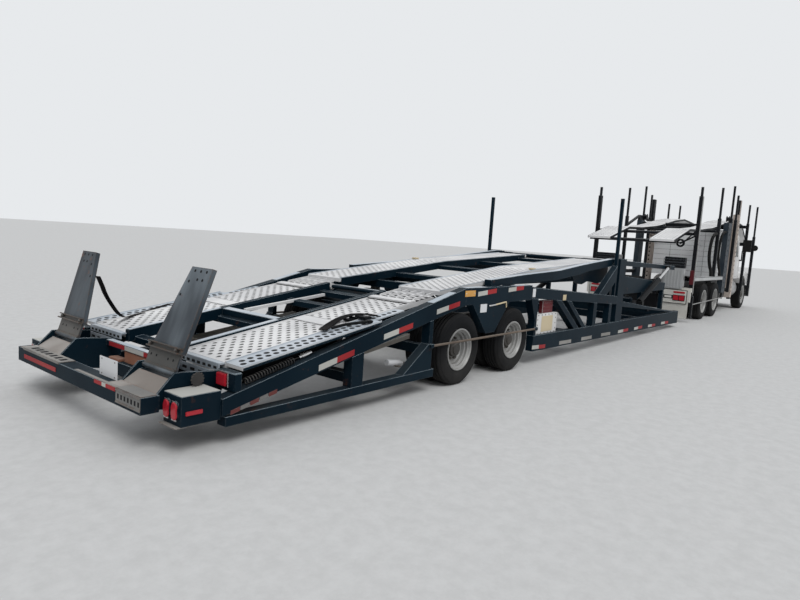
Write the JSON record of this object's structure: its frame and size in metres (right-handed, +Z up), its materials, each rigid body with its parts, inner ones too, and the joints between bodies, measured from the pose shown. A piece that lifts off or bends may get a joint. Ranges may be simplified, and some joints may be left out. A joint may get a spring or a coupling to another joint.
{
  "type": "articulated car transporter truck",
  "caption": "Articulated car transporter: tractor with a loading rack over its cab and a low drop-deck trailer with sloping runways, tilting decks and folding tail flaps.",
  "frame": {"origin": "centre of the overall length and width, on the ground", "axes": "+X forward to the nose, +Y to the left-hand side, +Z up"},
  "size_m": [22, 2.8, 3.66],
  "materials": {
    "frame_paint": "worn dark blue-green paint with dust and rust marks",
    "white_paint": "white paint, dusty at the edges",
    "deck_steel": "galvanised, scuffed along the tracks",
    "bare_steel": "bare and scuffed, brown at the edges",
    "bright_metal": "polished, dusty",
    "tank_aluminium": "dull",
    "axle_iron": "dark and dusty",
    "engine_iron": "dark and oily",
    "tyre": "worn black tyre on a silver-grey steel rim",
    "trim": "grained grey trim and cloth",
    "white_plastic": "dirty white sheet",
    "black_plastic": "black",
    "glass": "tinted and dusty"
  },
  "bodies": {
    "truck": {"cab_interior": "trim", "rack_cross_members": "frame_paint", "rack_front_runways": "deck_steel", "rack_posts": "frame_paint", "rack_supports": "frame_paint", "truck_axles": "axle_iron", "truck_bumper": "bright_metal", "truck_cab": "white_paint", "truck_chassis": "frame_paint", "truck_engine": "engine_iron", "truck_mirrors": "black_plastic", "truck_mud_flaps": "white_plastic", "truck_sleeper": "white_paint", "truck_springs": "frame_paint", "truck_stinger": "frame_paint", "truck_tanks_and_lockers": "tank_aluminium", "truck_windscreen": "glass"},
    "trailer": {"front_deck_cylinders": "frame_paint", "trailer_axles": "axle_iron", "trailer_belly_beams": "frame_paint", "trailer_coupler": "frame_paint", "trailer_cross_members": "frame_paint", "trailer_fender_beams": "frame_paint", "trailer_lamp_boxes": "frame_paint", "trailer_low_rails": "frame_paint", "trailer_posts": "frame_paint", "trailer_side_beams": "frame_paint", "trailer_side_panels": "white_paint", "trailer_stored_ramps": "bare_steel", "trailer_struts": "frame_paint", "trailer_tail_step": "frame_paint"},
    "cab_door_left": {"cab_door_left": "white_paint", "cab_door_left_glass": "glass"},
    "cab_door_right": {"cab_door_right": "white_paint", "cab_door_right_glass": "glass"},
    "drive_wheel_front_left": {"drive_wheel_front_left": "tyre"},
    "drive_wheel_front_right": {"drive_wheel_front_right": "tyre"},
    "drive_wheel_rear_left": {"drive_wheel_rear_left": "tyre"},
    "drive_wheel_rear_right": {"drive_wheel_rear_right": "tyre"},
    "front_deck": {"front_deck_frame": "frame_paint", "front_deck_runways": "deck_steel"},
    "hood": {"truck_grille": "bright_metal", "truck_hood": "white_paint"},
    "mid_deck": {"mid_deck_frame": "frame_paint", "mid_deck_runways": "deck_steel"},
    "rack_rear_deck": {"rack_rear_runways": "deck_steel", "rack_rear_ties": "frame_paint"},
    "rear_deck": {"rear_deck_frame": "frame_paint", "rear_deck_runways": "deck_steel"},
    "steer_wheel_left": {"steer_wheel_left": "tyre"},
    "steer_wheel_right": {"steer_wheel_right": "tyre"},
    "steering_knuckle_left": {"steering_knuckle_left": "axle_iron"},
    "steering_knuckle_right": {"steering_knuckle_right": "axle_iron"},
    "tail_flap_left": {"tail_flap_left": "bare_steel"},
    "tail_flap_right": {"tail_flap_right": "bare_steel"},
    "trailer_wheel_front_left": {"trailer_wheel_front_left": "tyre"},
    "trailer_wheel_front_right": {"trailer_wheel_front_right": "tyre"},
    "trailer_wheel_rear_left": {"trailer_wheel_rear_left": "tyre"},
    "trailer_wheel_rear_right": {"trailer_wheel_rear_right": "tyre"}
  },
  "joints": [
    {"name": "articulation", "type": "hinge", "parent": "truck", "child": "trailer", "pos_m": [1.83, 0, 0.46], "axis": [0, 0, 1], "range_deg": [-40, 40]},
    {"name": "steer_left", "type": "hinge", "parent": "truck", "child": "steering_knuckle_left", "pos_m": [9.65, 0.82, 0.46], "axis": [0, 0, 1], "range_deg": [-35, 35]},
    {"name": "steer_wheel_left_spin", "type": "hinge", "parent": "steering_knuckle_left", "child": "steer_wheel_left", "pos_m": [9.65, 1.0625, 0.465], "axis": [0, 1, 0], "continuous": true},
    {"name": "drive_wheel_rear_left_spin", "type": "hinge", "parent": "truck", "child": "drive_wheel_rear_left", "pos_m": [3.98, 1, 0.465], "axis": [0, 1, 0], "continuous": true},
    {"name": "drive_wheel_front_left_spin", "type": "hinge", "parent": "truck", "child": "drive_wheel_front_left", "pos_m": [5.28, 1, 0.465], "axis": [0, 1, 0], "continuous": true},
    {"name": "trailer_wheel_rear_left_spin", "type": "hinge", "parent": "trailer", "child": "trailer_wheel_rear_left", "pos_m": [-7.45, 1.04, 0.3985], "axis": [0, 1, 0], "continuous": true},
    {"name": "trailer_wheel_front_left_spin", "type": "hinge", "parent": "trailer", "child": "trailer_wheel_front_left", "pos_m": [-6.25, 1.04, 0.3985], "axis": [0, 1, 0], "continuous": true},
    {"name": "tail_flap_left_fold", "type": "hinge", "parent": "trailer", "child": "tail_flap_left", "pos_m": [-10.71, 0.79, 0.508], "axis": [0, -1, 0], "range_deg": [0, 124]},
    {"name": "cab_door_left_hinge", "type": "hinge", "parent": "truck", "child": "cab_door_left", "pos_m": [8.894, 1.1, 1.6], "axis": [0, 0, -1], "range_deg": [0, 65]},
    {"name": "steer_right", "type": "hinge", "parent": "truck", "child": "steering_knuckle_right", "pos_m": [9.65, -0.82, 0.46], "axis": [0, 0, 1], "range_deg": [-35, 35]},
    {"name": "steer_wheel_right_spin", "type": "hinge", "parent": "steering_knuckle_right", "child": "steer_wheel_right", "pos_m": [9.65, -1.0625, 0.465], "axis": [0, 1, 0], "continuous": true},
    {"name": "drive_wheel_rear_right_spin", "type": "hinge", "parent": "truck", "child": "drive_wheel_rear_right", "pos_m": [3.98, -1, 0.465], "axis": [0, 1, 0], "continuous": true},
    {"name": "drive_wheel_front_right_spin", "type": "hinge", "parent": "truck", "child": "drive_wheel_front_right", "pos_m": [5.28, -1, 0.465], "axis": [0, 1, 0], "continuous": true},
    {"name": "trailer_wheel_rear_right_spin", "type": "hinge", "parent": "trailer", "child": "trailer_wheel_rear_right", "pos_m": [-7.45, -1.04, 0.3985], "axis": [0, 1, 0], "continuous": true},
    {"name": "trailer_wheel_front_right_spin", "type": "hinge", "parent": "trailer", "child": "trailer_wheel_front_right", "pos_m": [-6.25, -1.04, 0.3985], "axis": [0, 1, 0], "continuous": true},
    {"name": "tail_flap_right_fold", "type": "hinge", "parent": "trailer", "child": "tail_flap_right", "pos_m": [-10.71, -0.79, 0.508], "axis": [0, -1, 0], "range_deg": [0, 124]},
    {"name": "cab_door_right_hinge", "type": "hinge", "parent": "truck", "child": "cab_door_right", "pos_m": [8.894, -1.1, 1.6], "axis": [0, 0, 1], "range_deg": [0, 65]},
    {"name": "rear_deck_tilt", "type": "hinge", "parent": "trailer", "child": "rear_deck", "pos_m": [-7.72, 0, 0.925], "axis": [0, 1, 0], "range_deg": [0, 12]},
    {"name": "mid_deck_tilt", "type": "hinge", "parent": "trailer", "child": "mid_deck", "pos_m": [-2.47, 0, 1.405], "axis": [0, 1, 0], "range_deg": [0, 10]},
    {"name": "front_deck_tilt", "type": "hinge", "parent": "trailer", "child": "front_deck", "pos_m": [-2.47, 0, 1.405], "axis": [0, -1, 0], "range_deg": [0, 5]},
    {"name": "rack_rear_tilt", "type": "hinge", "parent": "truck", "child": "rack_rear_deck", "pos_m": [6.06, 0, 2.52], "axis": [0, 1, 0], "range_deg": [0, 8]},
    {"name": "hood_tilt", "type": "hinge", "parent": "truck", "child": "hood", "pos_m": [10.79, 0, 0.69], "axis": [0, 1, 0], "range_deg": [0, 18]}
  ],
  "couplings": [
    {"joint": "steer_right", "follows": "steer_left", "ratio": 1}
  ]
}
